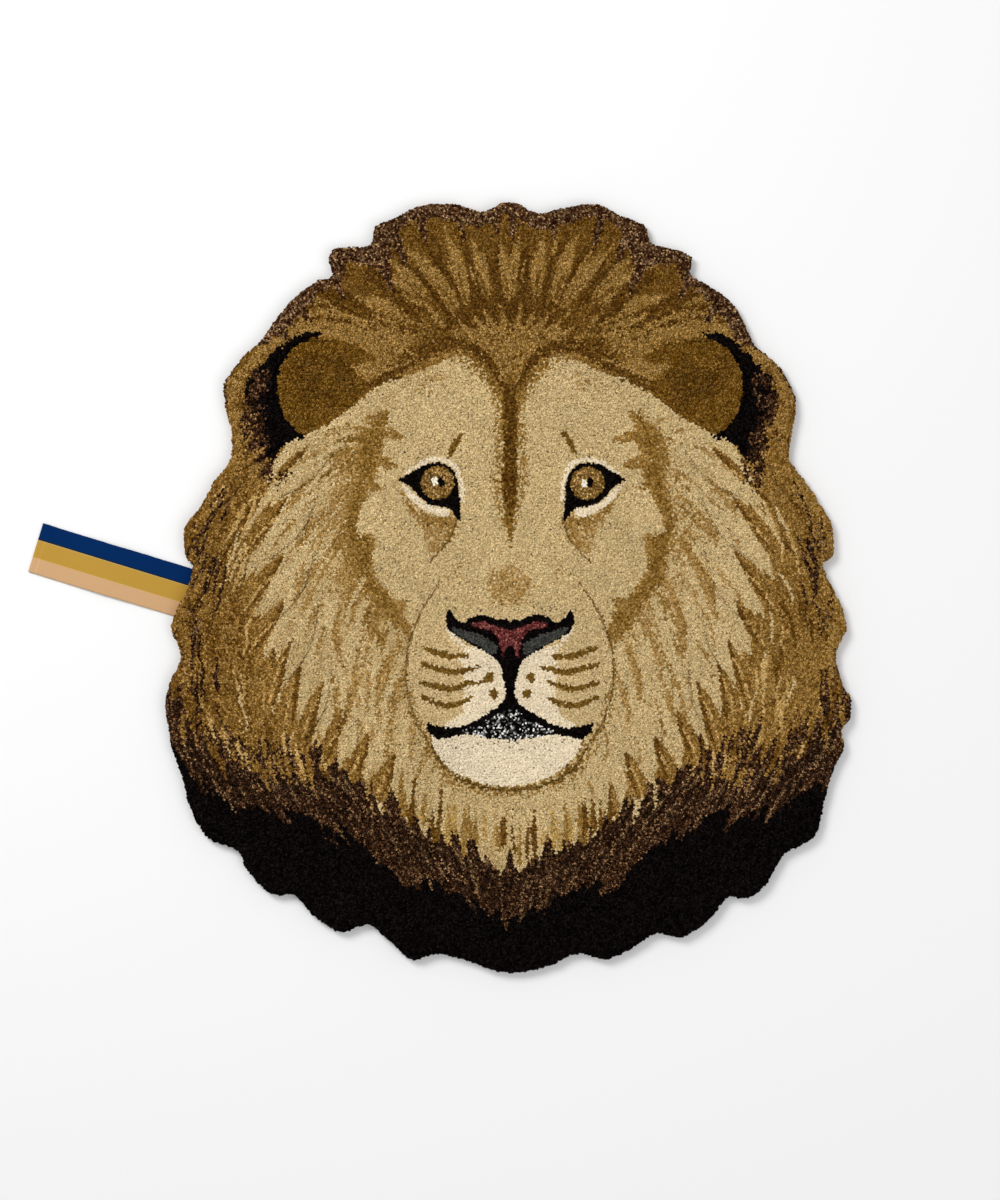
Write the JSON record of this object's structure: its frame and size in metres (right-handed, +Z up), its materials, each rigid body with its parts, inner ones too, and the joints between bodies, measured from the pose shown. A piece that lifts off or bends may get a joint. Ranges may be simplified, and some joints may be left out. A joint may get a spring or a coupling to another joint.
{
  "type": "lion head tufted rug",
  "caption": "Flat cut-pile floor rug shaped and coloured as a lion's head with a scalloped mane, and a striped woven ribbon sewn under its edge.",
  "frame": {"origin": "on the underside, at the middle of the rug's outline", "axes": "+Z up, out of the pile; +Y towards the crown of the mane; +X to the right of the face as it is looked at, so the ribbon lies towards -X"},
  "size_m": [0.8259, 0.7731, 0.015],
  "materials": {
    "pile": "dense heathered wool cut pile, matt",
    "ribbon": "woven ribbed ribbon with lengthwise stripes, slight sheen"
  },
  "bodies": {
    "root": {"rug": "pile", "ribbon": "ribbon"}
  },
  "joints": []
}
